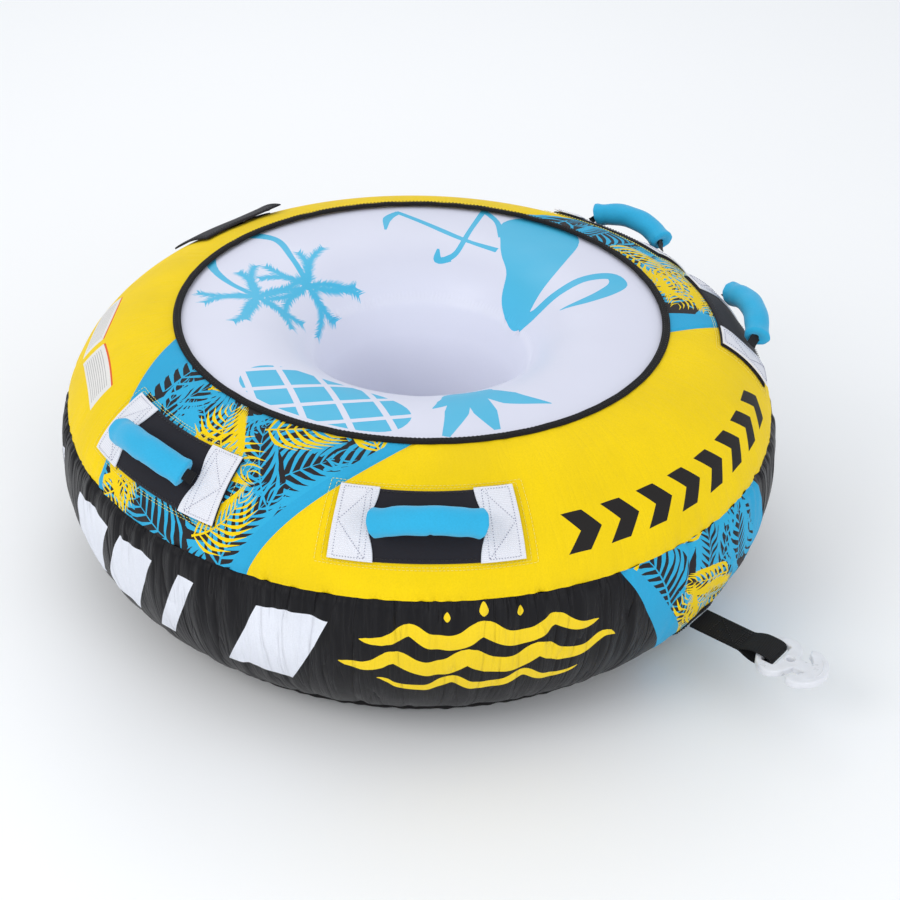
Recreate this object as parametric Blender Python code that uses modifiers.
"""One-rider towable deck tube: an inflated bladder in a sewn cover, with four lifting grab handles,
a tow strap with a quick hook, a valve under a flap, and a zip.

Metres, +Z up. The origin is the centre of the flat bottom; +X is the tow direction, +Y is the rider's left.
"Bearing" is the angle about +Z from +X, in degrees. "Pitch" is the angle round the tube's section:
90 is the top, 0 the outermost line, -90 the bottom, and 180 the innermost line of the seat well.
"Lift" is the distance out of the cover's outer surface.
"""

from math import atan2, cos, degrees, pi, radians, sin

import bmesh
import bpy
from mathutils import Matrix, Vector

# --- Driving dimensions -------------------------------------------------------------------------------
RING_R = 0.3699            # radius of the section's centre line
HALF_WIDTH = 0.2151        # half the section's width
HALF_HEIGHT = 0.2177       # half the section's height
SECTION_Z = 0.218          # height of the section's centre
OUTER_POWER = 2.148        # squareness of the section's outer half
INNER_POWER = 3.3          # squareness of its inner half, which carries the flat deck
RING_STEPS = 48            # facets round a full ring

COVER_T = 0.0016           # cover cloth
BLADDER_LIFT = -0.0044     # bladder's skin, inside the cloth
FLOOR_T = 0.0025           # bottom cloth and well floor
BOTTOM_R = 0.4165          # flat bottom disc
WELL_FLOOR_R = 0.245
BLADDER_BASE_Z = 0.0035

TRIM_PITCH = 85.2          # cloth's edge at the deck
SEAM_PITCH = 18.0          # seam between the top panels and the side band
HEM_PITCH = -57.0          # seam between the side band and the bottom skirt
SKIRT_END_PITCH = -77.5
BINDING_PITCH = (84.0, 86.9)
BINDING_LIFT = (0.0006, 0.0046)

# Bearings of the top panels' edges, at the deck trim, half way down, and at the side seam.
PANEL_EDGES = {
    "right_rear": (-126.2, -112.5, -108.5),
    "right_front": (-52.2, -66.8, -75.7),
    "left_front": (31.2, 42.5, 54.7),
    "left_rear": (105.2, 91.5, 87.5),
}
TOW_PANEL_LEFT = (13.0, 18.5, 22.0)       # bearings at the side seam, half way, and at the hem
TOW_PANEL_RIGHT = (-20.5, -13.0, -5.5)
EDGE_GAP = 0.05            # degrees left between neighbouring panels
SEAM_GAP = 0.16            # degrees left on each side of the side seam
HEM_GAP = 0.35             # degrees left under the bottom seam's tape, on each side

HANDLE_BEARINGS = {"front_right": -49.5, "side_right": -96.4, "front_left": 47.0, "side_left": 85.5}
HANDLE_PITCH = 47.0
PAD_HALF_BEARING = 14.3
PAD_PITCH = (32.3, 61.5)
PAD_LIFT = (0.0012, 0.0055)
ANCHOR_BEARING = (8.0, 14.3)
ANCHOR_LIFT = (0.0066, 0.0082)
GRIP_HALF_CHORD = 0.071
GRIP_END_LIFT = 0.0240
GRIP_MID_LIFT = 0.0430
GRIP_R = 0.0205
SLEEVE_T = 0.0025
FOAM_T = 0.0070
SKIN_GAP = 0.0009
GRIP_AXIS_LIFT = 0.010
WEBBING_T = 0.0020
WEBBING_HALF_WIDTH = 0.009
WEBBING_FOOT = 0.081       # how far the webbing's feet reach from the handle's middle

TOW_Z = 0.100
TOW_PITCH = -31.5
STRAP_ROOT_X = 0.5614
STRAP_HALF_WIDTH = 0.025
STRAP_LAYER_T = 0.0022
STRAP_PLY_HALF = 0.0023    # half the thickness of the two stitched layers
LOOP_INNER_HALF = 0.0088
LOOP_START_X = 0.646
LOOP_FRONT_X = 0.7005
HOOK_HALF_T = 0.006
HOOK_BASE = (0.703, 0.031, 0.046)      # centre x, half length, half width
HOOK_SLOT = (0.6865, 0.7085, 0.0275)   # rear x, front x, half width
HOOK_EYE = (0.7215, 0.0055)            # centre x, radius
HOOK_NECK = 0.012
HOOK_HEAD = (0.735, 0.047)             # centre x and radius of the head's outer edge
HOOK_THROAT = (0.7165, 0.0375)         # centre x and radius of its inner edge
HOOK_HORN_ANGLE = 78.0

VALVE_BEARING = 174.5
VALVE_PITCH = 60.0
VALVE_POCKET = (0.034, 0.036)          # radius and depth
ACCESS_HOLE_R = 0.030
FLAP_BEARING = (163.5, 185.5)
FLAP_PITCH = (48.0, 71.0)
FLAP_T = 0.003
FLAP_LIFT = 0.0075         # outer face at the hinge
FLAP_RISE = 0.0085         # how much the free end stands up
LOOP_TAPE_BEARING = (165.2, 168.6)
LOOP_TAPE_PITCH = (53.0, 66.0)
LOOP_TAPE_LIFT = (0.0008, 0.0022)
TAPE_T = 0.0012

ZIP_BEARING = (149.0, 211.0)
ZIP_PITCH = -48.0
ZIP_SLIDER_BEARING = 151.0
ZIP_TAPE_REACH = 3.6
ZIP_TAPE_LIFT = (0.0008, 0.0016)
ZIP_TEETH_REACH = 0.5
ZIP_TEETH_LIFT = (0.0021, 0.0034)
ZIP_SLIDER_SIZE = (0.014, 0.010, 0.0034)
ZIP_SLIDER_LIFT = 0.0056
ZIP_PULL_SIZE = (0.032, 0.009, 0.0016)
ZIP_PULL_OFFSET = -0.018
ZIP_PULL_LIFT = 0.0086

GROMMET_R = 0.085
GROMMET_HOLE_R = 0.0065

MESH = bpy.data.meshes
OBJECTS = bpy.data.objects


# --- Scene and helpers --------------------------------------------------------------------------------
def clear_scene():
    for obj in list(OBJECTS):
        OBJECTS.remove(obj, do_unlink=True)
    for collection in list(bpy.data.collections):
        bpy.data.collections.remove(collection)


def new_collection(name):
    collection = bpy.data.collections.new(name)
    bpy.context.scene.collection.children.link(collection)
    return collection


def material(name, colour, roughness=0.7, metallic=0.0):
    found = bpy.data.materials.get(name)
    if found:
        return found
    made = bpy.data.materials.new(name)
    made.use_nodes = True
    shader = made.node_tree.nodes["Principled BSDF"]
    shader.inputs["Base Color"].default_value = (*colour, 1.0)
    shader.inputs["Roughness"].default_value = roughness
    shader.inputs["Metallic"].default_value = metallic
    return made


COLOURS = {
    "yellow_cloth": ((0.91, 0.66, 0.0), 0.75),
    "leaf_cloth": ((0.03, 0.20, 0.33), 0.75),
    "black_cloth": ((0.022, 0.020, 0.026), 0.6),
    "binding": ((0.018, 0.017, 0.02), 0.8),
    "bladder_pvc": ((0.78, 0.79, 0.86), 0.45),
    "floor_pvc": ((0.72, 0.73, 0.80), 0.5),
    "neoprene": ((0.012, 0.011, 0.014), 0.9),
    "white_webbing": ((0.80, 0.80, 0.85), 0.85),
    "black_webbing": ((0.014, 0.013, 0.015), 0.8),
    "grip_cloth": ((0.03, 0.47, 0.78), 0.65),
    "foam": ((0.30, 0.31, 0.33), 0.95),
    "hook_plastic": ((0.80, 0.81, 0.83), 0.35),
    "valve_plastic": ((0.05, 0.05, 0.06), 0.4),
    "valve_rubber": ((0.03, 0.03, 0.03), 0.8),
    "zip_plastic": ((0.03, 0.03, 0.035), 0.5),
    "brass": ((0.60, 0.43, 0.18), 0.35),
}


def finish(obj, look, collection=None):
    """Gives an object its material and puts it in a collection."""
    colour, roughness = COLOURS[look]
    obj.data.materials.clear()
    obj.data.materials.append(material(look, colour, roughness, 1.0 if look == "brass" else 0.0))
    for owner in list(obj.users_collection):
        owner.objects.unlink(obj)
    (collection or PARTS).objects.link(obj)
    return obj


def helper(obj):
    """Marks an object as a cutter."""
    for owner in list(obj.users_collection):
        owner.objects.unlink(obj)
    CUTTERS.objects.link(obj)
    obj.hide_render = True
    obj.display_type = "WIRE"
    return obj


def cut(obj, cutter):
    boolean = obj.modifiers.new("cut_" + cutter.name, "BOOLEAN")
    boolean.operation = "DIFFERENCE"
    boolean.solver = "EXACT"
    boolean.object = cutter


def smooth(obj, angle=35.0):
    obj.data.shade_smooth()
    obj.data.set_sharp_from_angle(angle=radians(angle))


# --- The tube's section -------------------------------------------------------------------------------
def power(value, exponent):
    return abs(value) ** exponent * (1 if value >= 0 else -1)


def section(pitch, lift=0.0):
    """(radius, height) on the tube's section at a pitch, moved out along its normal by lift."""
    angle = radians(pitch)
    squareness = OUTER_POWER if cos(angle) >= 0 else INNER_POWER
    across = power(cos(angle), 2 / squareness)
    up = power(sin(angle), 2 / squareness)
    normal = Vector(
        (power(across, squareness - 1) / HALF_WIDTH, power(up, squareness - 1) / HALF_HEIGHT)
    ).normalized()
    return (
        RING_R + HALF_WIDTH * across + lift * normal.x,
        SECTION_Z + HALF_HEIGHT * up + lift * normal.y,
    )


def section_normal(pitch):
    inner, outer = section(pitch), section(pitch, 1.0)
    return outer[0] - inner[0], outer[1] - inner[1]


def on_tube(bearing, pitch, lift=0.0):
    radius, height = section(pitch, lift)
    return Vector((radius * cos(radians(bearing)), radius * sin(radians(bearing)), height))


def frame_at(bearing, pitch, lift=0.0):
    """Local frame on the tube: X along the bearing, Y uphill to the deck, Z out of the surface."""
    out, up = section_normal(pitch)
    turn = radians(bearing)
    along = Vector((-sin(turn), cos(turn), 0))
    normal = Vector((out * cos(turn), out * sin(turn), up))
    uphill = normal.cross(along)
    matrix = Matrix((along, uphill, normal)).transposed().to_4x4()
    matrix.translation = on_tube(bearing, pitch, lift)
    return matrix


def between(values, t):
    """A smooth curve through three values, at t = 0, 0.45 and 1."""
    start, middle, end = values
    at = 0.45
    return (
        start * (t - at) * (t - 1) / at
        + middle * t * (t - 1) / (at * (at - 1))
        + end * t * (t - at) / (1 - at)
    )


# --- Shape makers -------------------------------------------------------------------------------------
def wrapped(name, look, pitches, left, right, lift, segments):
    """A patch of cloth on the tube: a grid mapped between two pitches and two bearing functions.

    left and right give the bearing from t, which runs from 0 at the upper edge to 1 at the lower edge.
    lift is (inner, outer), where outer may be a function of the fraction from right to left.
    """
    mesh = MESH.new(name)
    grid = bmesh.new()
    bmesh.ops.create_grid(grid, x_segments=segments[0], y_segments=segments[1], size=1.0)
    low, high = pitches
    for vertex in grid.verts:
        across, up = (vertex.co.x + 1) / 2, (vertex.co.y + 1) / 2
        t = 1 - up
        bearing = right(t) + (left(t) - right(t)) * across
        outer = lift[1](across) if callable(lift[1]) else lift[1]
        vertex.co = on_tube(bearing, low + (high - low) * up, outer)
    grid.to_mesh(mesh)
    grid.free()
    obj = OBJECTS.new(name, mesh)
    finish(obj, look)
    solidify = obj.modifiers.new("thickness", "SOLIDIFY")
    outer = lift[1](0.0) if callable(lift[1]) else lift[1]
    solidify.thickness = outer - lift[0]
    solidify.offset = -1.0
    smooth(obj)
    return obj


def patch(name, look, bearings, pitches, lift, segments):
    """A wrapped patch with straight sides."""
    return wrapped(name, look, pitches, lambda t: bearings[1], lambda t: bearings[0], lift, segments)


def turned(name, look, outline, steps=RING_STEPS, closed=True, place=None):
    """A turned piece: (radius, height) points running down the outer side, screwed round Z."""
    mesh = MESH.new(name)
    profile = bmesh.new()
    verts = [profile.verts.new((radius, 0, height)) for radius, height in outline]
    pairs = list(zip(verts, verts[1:]))
    if closed:
        pairs.append((verts[-1], verts[0]))
    for pair in pairs:
        profile.edges.new(pair)
    profile.to_mesh(mesh)
    profile.free()
    obj = OBJECTS.new(name, mesh)
    finish(obj, look)
    screw = obj.modifiers.new("turn", "SCREW")
    screw.steps = steps
    screw.render_steps = steps
    screw.use_merge_vertices = True
    screw.merge_threshold = 0.00005
    screw.use_smooth_shade = False
    if place is not None:
        obj.matrix_world = place
    return obj


def cylinder_cutter(name, radius, low, high, place, steps=24):
    mesh = MESH.new(name)
    made = bmesh.new()
    bmesh.ops.create_cone(
        made, cap_ends=True, segments=steps, radius1=radius, radius2=radius, depth=high - low
    )
    bmesh.ops.translate(made, verts=made.verts, vec=(0, 0, (low + high) / 2))
    made.to_mesh(mesh)
    made.free()
    obj = OBJECTS.new(name, mesh)
    bpy.context.scene.collection.objects.link(obj)
    obj.matrix_world = place
    return helper(obj)


def box(name, look, size, centre, place, bevel=0.0):
    mesh = MESH.new(name)
    made = bmesh.new()
    bmesh.ops.create_cube(made, size=1.0)
    bmesh.ops.scale(made, verts=made.verts, vec=size)
    bmesh.ops.translate(made, verts=made.verts, vec=centre)
    made.to_mesh(mesh)
    made.free()
    obj = finish(OBJECTS.new(name, mesh), look)
    obj.matrix_world = place
    if bevel:
        rounded = obj.modifiers.new("edges", "BEVEL")
        rounded.width = bevel
        rounded.segments = 2
    return obj


def path_curve(name, look, points, place, flat=False):
    """A poly curve through local (x, y) points; the caller adds its bevel or its extrusion."""
    curve = bpy.data.curves.new(name, "CURVE")
    curve.dimensions = "2D" if flat else "3D"
    spline = curve.splines.new("POLY")
    spline.points.add(len(points) - 1)
    for point, (x, y) in zip(spline.points, points):
        point.co = (x, y, 0, 1)
    obj = finish(OBJECTS.new(name, curve), look)
    obj.matrix_world = place
    return obj, curve, spline


def plate(name, look, outlines, half_thickness, place):
    """A flat plate from closed outlines, the first outside and the rest holes."""
    curve = bpy.data.curves.new(name, "CURVE")
    curve.dimensions = "2D"
    curve.fill_mode = "BOTH"
    curve.extrude = half_thickness
    for outline in outlines:
        spline = curve.splines.new("POLY")
        spline.points.add(len(outline) - 1)
        spline.use_cyclic_u = True
        for point, (x, y) in zip(spline.points, outline):
            point.co = (x, y, 0, 1)
    obj = finish(OBJECTS.new(name, curve), look)
    obj.matrix_world = place
    return obj


def arc(centre, radii, start, end, count):
    """Points on an ellipse's arc, angles in degrees."""
    angles = [radians(start + (end - start) * i / (count - 1)) for i in range(count)]
    return [(centre[0] + radii[0] * cos(a), centre[1] + radii[1] * sin(a)) for a in angles]


# --- Inflated body ------------------------------------------------------------------------------------
def make_bladder():
    outline = []
    count = 24
    for i in range(count):
        radius, height = section(180 - 360 * i / count, BLADDER_LIFT)
        outline.append((radius, max(height, BLADDER_BASE_Z)))
    bladder = turned("bladder", "bladder_pvc", outline)
    cut(bladder, VALVE_POCKET_CUTTER)
    return bladder


def make_floor():
    well_floor = turned(
        "well_floor",
        "floor_pvc",
        [
            (0, BLADDER_BASE_Z + FLOOR_T),
            (WELL_FLOOR_R, BLADDER_BASE_Z + FLOOR_T),
            (WELL_FLOOR_R, BLADDER_BASE_Z),
            (0, BLADDER_BASE_Z),
        ],
        steps=32,
        closed=False,
    )
    bottom = turned(
        "bottom_cover",
        "black_cloth",
        [(0, FLOOR_T), (BOTTOM_R, FLOOR_T), (BOTTOM_R, 0), (0, 0)],
        closed=False,
    )
    for k in range(4):
        turn = radians(45 + 90 * k)
        place = Matrix.Translation((GROMMET_R * cos(turn), GROMMET_R * sin(turn), 0))
        hole = cylinder_cutter(f"grommet_hole_{k + 1}", GROMMET_HOLE_R, -0.01, 0.02, place, 12)
        cut(well_floor, hole)
        cut(bottom, hole)
        turned(
            f"drain_grommet_{k + 1}",
            "brass",
            [
                (0.0045, 0.0080),
                (0.0100, 0.0080),
                (0.0100, 0.0064),
                (0.0058, 0.0064),
                (0.0058, 0.0004),
                (0.0045, 0.0004),
            ],
            steps=12,
            place=place,
        )


# --- Sewn cover ---------------------------------------------------------------------------------------
def panel_edge(values, shift=0.0):
    return lambda t: between(values, t) + shift


def turned_on(values):
    return tuple(v + 360 for v in values)


def make_top_panels():
    edges = PANEL_EDGES
    panels = [
        ("cover_front", "yellow_cloth", edges["right_front"], edges["left_front"], 18),
        ("cover_left", "leaf_cloth", edges["left_front"], edges["left_rear"], 11),
        ("cover_rear", "yellow_cloth", edges["left_rear"], turned_on(edges["right_rear"]), 24),
        ("cover_right", "leaf_cloth", edges["right_rear"], edges["right_front"], 11),
    ]
    for name, look, start, end, segments in panels:
        panel = wrapped(
            name,
            look,
            (SEAM_PITCH + SEAM_GAP, TRIM_PITCH),
            panel_edge(end, -EDGE_GAP),
            panel_edge(start, EDGE_GAP),
            (-COVER_T, 0.0),
            (segments, 7),
        )
        if name == "cover_rear":
            cut(panel, ACCESS_CUTTER)


def make_side_band():
    start = panel_edge(TOW_PANEL_LEFT, EDGE_GAP)
    end = panel_edge(TOW_PANEL_RIGHT, 360 - EDGE_GAP)
    pitches = (HEM_PITCH + HEM_GAP, SEAM_PITCH - SEAM_GAP)
    wrapped("side_band", "black_cloth", pitches, end, start, (-COVER_T, 0.0), (46, 7))
    wrapped(
        "tow_panel",
        "leaf_cloth",
        pitches,
        panel_edge(TOW_PANEL_LEFT, -EDGE_GAP),
        panel_edge(TOW_PANEL_RIGHT, EDGE_GAP),
        (-COVER_T, 0.0),
        (6, 7),
    )


def ring_band(name, look, pitches, lift, count):
    """A full ring that follows the section between two pitches, its outer face given first."""
    high, low = pitches
    steps = [high + (low - high) * i / (count - 1) for i in range(count)]
    outline = [section(pitch, lift[1]) for pitch in steps]
    outline += [section(pitch, lift[0]) for pitch in reversed(steps)]
    return turned(name, look, outline)


def make_rings():
    ring_band("deck_binding", "binding", BINDING_PITCH[::-1], BINDING_LIFT, 2)
    ring_band("bottom_skirt", "black_cloth", (HEM_PITCH - HEM_GAP, SKIRT_END_PITCH), (-COVER_T, 0.0), 4)
    ring_band("bottom_seam_tape", "binding", (HEM_PITCH + 0.5, HEM_PITCH - 0.5), (0.0008, 0.0075), 2)


# --- Handles ------------------------------------------------------------------------------------------
def grip_path(half_chord, end_lift, mid_lift, count):
    """Points of the arched grip: x along the tube, y as lift."""
    rise = mid_lift - end_lift
    radius = (half_chord**2 + rise**2) / (2 * rise)
    half_angle = degrees(atan2(half_chord, radius - rise))
    return arc((0, mid_lift - radius), (radius, radius), 90 + half_angle, 90 - half_angle, count)


def make_handle(name, bearing):
    for side, (near, far) in (("a", ANCHOR_BEARING), ("b", [-v for v in ANCHOR_BEARING])):
        patch(
            f"handle_anchor_{side}_{name}",
            "white_webbing",
            (bearing + min(near, far), bearing + max(near, far)),
            PAD_PITCH,
            ANCHOR_LIFT,
            (2, 6),
        )
    patch(
        f"knuckle_pad_{name}",
        "neoprene",
        (bearing - PAD_HALF_BEARING, bearing + PAD_HALF_BEARING),
        PAD_PITCH,
        PAD_LIFT,
        (8, 6),
    )
    # The grip's curves lie in the plane of the tube's direction and the surface's normal.
    place = frame_at(bearing, HANDLE_PITCH) @ Matrix.Rotation(pi / 2, 4, "X")
    points = grip_path(GRIP_HALF_CHORD, GRIP_END_LIFT, GRIP_MID_LIFT, 9)
    tubes = (
        ("grip_sleeve", "grip_cloth", GRIP_R, SLEEVE_T),
        ("grip_foam", "foam", GRIP_R - SLEEVE_T - SKIN_GAP, FOAM_T),
    )
    for piece, look, radius, thickness in tubes:
        obj, curve, spline = path_curve(f"{piece}_{name}", look, points, place)
        curve.bevel_depth = radius
        curve.bevel_resolution = 2
        curve.use_fill_caps = False
        if piece == "grip_sleeve":
            for index, flare in ((0, 1.1), (1, 1.04), (-2, 1.04), (-1, 1.1)):
                spline.points[index].radius = flare
        solidify = obj.modifiers.new("thickness", "SOLIDIFY")
        solidify.thickness = thickness
        solidify.offset = -1.0
    arch = grip_path(GRIP_HALF_CHORD, GRIP_END_LIFT, GRIP_MID_LIFT, 8)
    foot = GRIP_AXIS_LIFT + WEBBING_T / 2
    lead = (arch[0][0] - 0.003, arch[0][1] - 0.008)
    left = [(-WEBBING_FOOT, foot), lead]
    right = [(-x, y) for x, y in reversed(left)]
    obj, curve, spline = path_curve(f"grip_webbing_{name}", "black_webbing", left + arch + right, place, True)
    curve.extrude = WEBBING_HALF_WIDTH
    curve.fill_mode = "NONE"
    solidify = obj.modifiers.new("thickness", "SOLIDIFY")
    solidify.thickness = WEBBING_T
    solidify.offset = 0.0


# --- Tow strap and hook -------------------------------------------------------------------------------
def make_tow_strap():
    patch(
        "tow_anchor_patch",
        "black_webbing",
        (-3.2, 3.2),
        (TOW_PITCH - 9.0, TOW_PITCH + 6.0),
        (0.0007, 0.0024),
        (3, 4),
    )
    ply = STRAP_PLY_HALF
    outer = LOOP_INNER_HALF + STRAP_LAYER_T
    inner = LOOP_INNER_HALF
    shoulder = LOOP_START_X + 0.020
    front = LOOP_FRONT_X + STRAP_LAYER_T
    nose = 0.006
    top = [(STRAP_ROOT_X, ply), (LOOP_START_X, ply), (shoulder, outer)]
    top += arc((front - nose, outer - nose), (nose, nose), 90, 0, 4)
    outside = top + [(x, -z) for x, z in reversed(top)]
    hole_top = [(LOOP_START_X + 0.011, 0.0008), (shoulder, inner)]
    hole_top += arc(
        (LOOP_FRONT_X - nose + STRAP_LAYER_T, inner - nose + STRAP_LAYER_T),
        (nose - STRAP_LAYER_T, nose - STRAP_LAYER_T),
        90,
        0,
        3,
    )
    hole = hole_top + [(x, -z) for x, z in reversed(hole_top)]
    place = Matrix.Translation((0, 0, TOW_Z)) @ Matrix.Rotation(pi / 2, 4, "X")
    plate("tow_strap", "black_webbing", [outside, hole], STRAP_HALF_WIDTH, place)


def hook_outline():
    """The hook's outline: an oval base, a short neck and a head with two horns."""
    base_x, base_long, base_wide = HOOK_BASE
    neck_angle = degrees(atan2(HOOK_NECK / base_wide, (1 - (HOOK_NECK / base_wide) ** 2) ** 0.5))
    base = arc((base_x, 0), (base_long, base_wide), 180, neck_angle, 14)
    throat_x, throat_r = HOOK_THROAT
    start = degrees(atan2(HOOK_NECK, (throat_r**2 - HOOK_NECK**2) ** 0.5))
    throat = arc((throat_x, 0), (throat_r, throat_r), start, 62, 5)
    head_x, head_r = HOOK_HEAD
    head = arc((head_x, 0), (head_r, head_r), HOOK_HORN_ANGLE, 0, 9)
    half = base + throat + head
    return half + [(x, -y) for x, y in reversed(half[1:-1])]


def make_tow_hook():
    rear, front, half = HOOK_SLOT
    slot = [(rear, -half), (front, -half), (front, half), (rear, half)]
    eye = arc((HOOK_EYE[0], 0), (HOOK_EYE[1], HOOK_EYE[1]), 0, 330, 12)
    place = Matrix.Translation((0, 0, TOW_Z))
    plate("tow_hook", "hook_plastic", [hook_outline(), slot, eye], HOOK_HALF_T, place)


# --- Valve and its flap -------------------------------------------------------------------------------
def make_valve():
    place = frame_at(VALVE_BEARING, VALVE_PITCH)
    turned(
        "valve_base",
        "valve_plastic",
        [
            (0.0186, -0.0140),
            (0.0220, -0.0140),
            (0.0220, -0.0325),
            (0.0310, -0.0325),
            (0.0310, -0.0350),
            (0.0186, -0.0350),
        ],
        steps=24,
        place=place,
    )
    turned(
        "valve_insert",
        "valve_plastic",
        [
            (0.0150, -0.0115),
            (0.0205, -0.0115),
            (0.0205, -0.0136),
            (0.0181, -0.0136),
            (0.0181, -0.0290),
            (0.0090, -0.0290),
            (0.0090, -0.0265),
            (0.0150, -0.0265),
        ],
        steps=24,
        place=place,
    )
    turned(
        "valve_diaphragm",
        "valve_rubber",
        [
            (0, -0.0200),
            (0.0030, -0.0200),
            (0.0030, -0.0293),
            (0.0130, -0.0293),
            (0.0130, -0.0306),
            (0, -0.0306),
        ],
        steps=16,
        closed=False,
        place=place,
    )
    turned(
        "valve_cap",
        "valve_plastic",
        [
            (0, -0.0050),
            (0.0190, -0.0050),
            (0.0212, -0.0070),
            (0.0212, -0.0110),
            (0.0145, -0.0110),
            (0.0145, -0.0180),
            (0, -0.0180),
        ],
        steps=24,
        closed=False,
        place=place,
    )


def flap_lift(across):
    """Lift of the flap's outer face; across is 0 at the free end and 1 at the hinge."""
    return FLAP_LIFT + FLAP_RISE * (1 - across) ** 3


def make_flap():
    low, high = FLAP_BEARING
    flap = wrapped(
        "valve_flap",
        "neoprene",
        FLAP_PITCH,
        lambda t: high,
        lambda t: low,
        (0.0, flap_lift),
        (7, 6),
    )
    flap.modifiers["thickness"].thickness = FLAP_T
    tape_high = LOOP_TAPE_BEARING[1]
    across = (tape_high - low) / (high - low)
    under = flap_lift(across) - FLAP_T - TAPE_T
    for name, lift in (("flap_hook_tape", (under - TAPE_T, under)), ("flap_loop_tape", LOOP_TAPE_LIFT)):
        patch(name, "black_webbing", LOOP_TAPE_BEARING, LOOP_TAPE_PITCH, lift, (1, 4))


# --- Zip ----------------------------------------------------------------------------------------------
def make_zip():
    for name, look, reach, lift, rows in (
        ("zip_tape", "black_webbing", ZIP_TAPE_REACH, ZIP_TAPE_LIFT, 2),
        ("zip_teeth", "zip_plastic", ZIP_TEETH_REACH, ZIP_TEETH_LIFT, 1),
    ):
        patch(name, look, ZIP_BEARING, (ZIP_PITCH - reach, ZIP_PITCH + reach), lift, (18, rows))
    place = frame_at(ZIP_SLIDER_BEARING, ZIP_PITCH)
    box("zip_slider", "zip_plastic", ZIP_SLIDER_SIZE, (0, 0, ZIP_SLIDER_LIFT), place, 0.0006)
    box("zip_pull", "zip_plastic", ZIP_PULL_SIZE, (ZIP_PULL_OFFSET, 0, ZIP_PULL_LIFT), place, 0.0004)


clear_scene()
PARTS = new_collection("towable_tube")
CUTTERS = new_collection("cutters")
VALVE_PLACE = frame_at(VALVE_BEARING, VALVE_PITCH)
VALVE_POCKET_CUTTER = cylinder_cutter(
    "valve_pocket_cutter", VALVE_POCKET[0], -VALVE_POCKET[1], 0.02, VALVE_PLACE
)
ACCESS_CUTTER = cylinder_cutter("access_hole_cutter", ACCESS_HOLE_R, -0.02, 0.02, VALVE_PLACE)
make_bladder()
make_floor()
make_top_panels()
make_side_band()
make_rings()
for handle, handle_bearing in HANDLE_BEARINGS.items():
    make_handle(handle, handle_bearing)
make_tow_strap()
make_tow_hook()
make_valve()
make_flap()
make_zip()
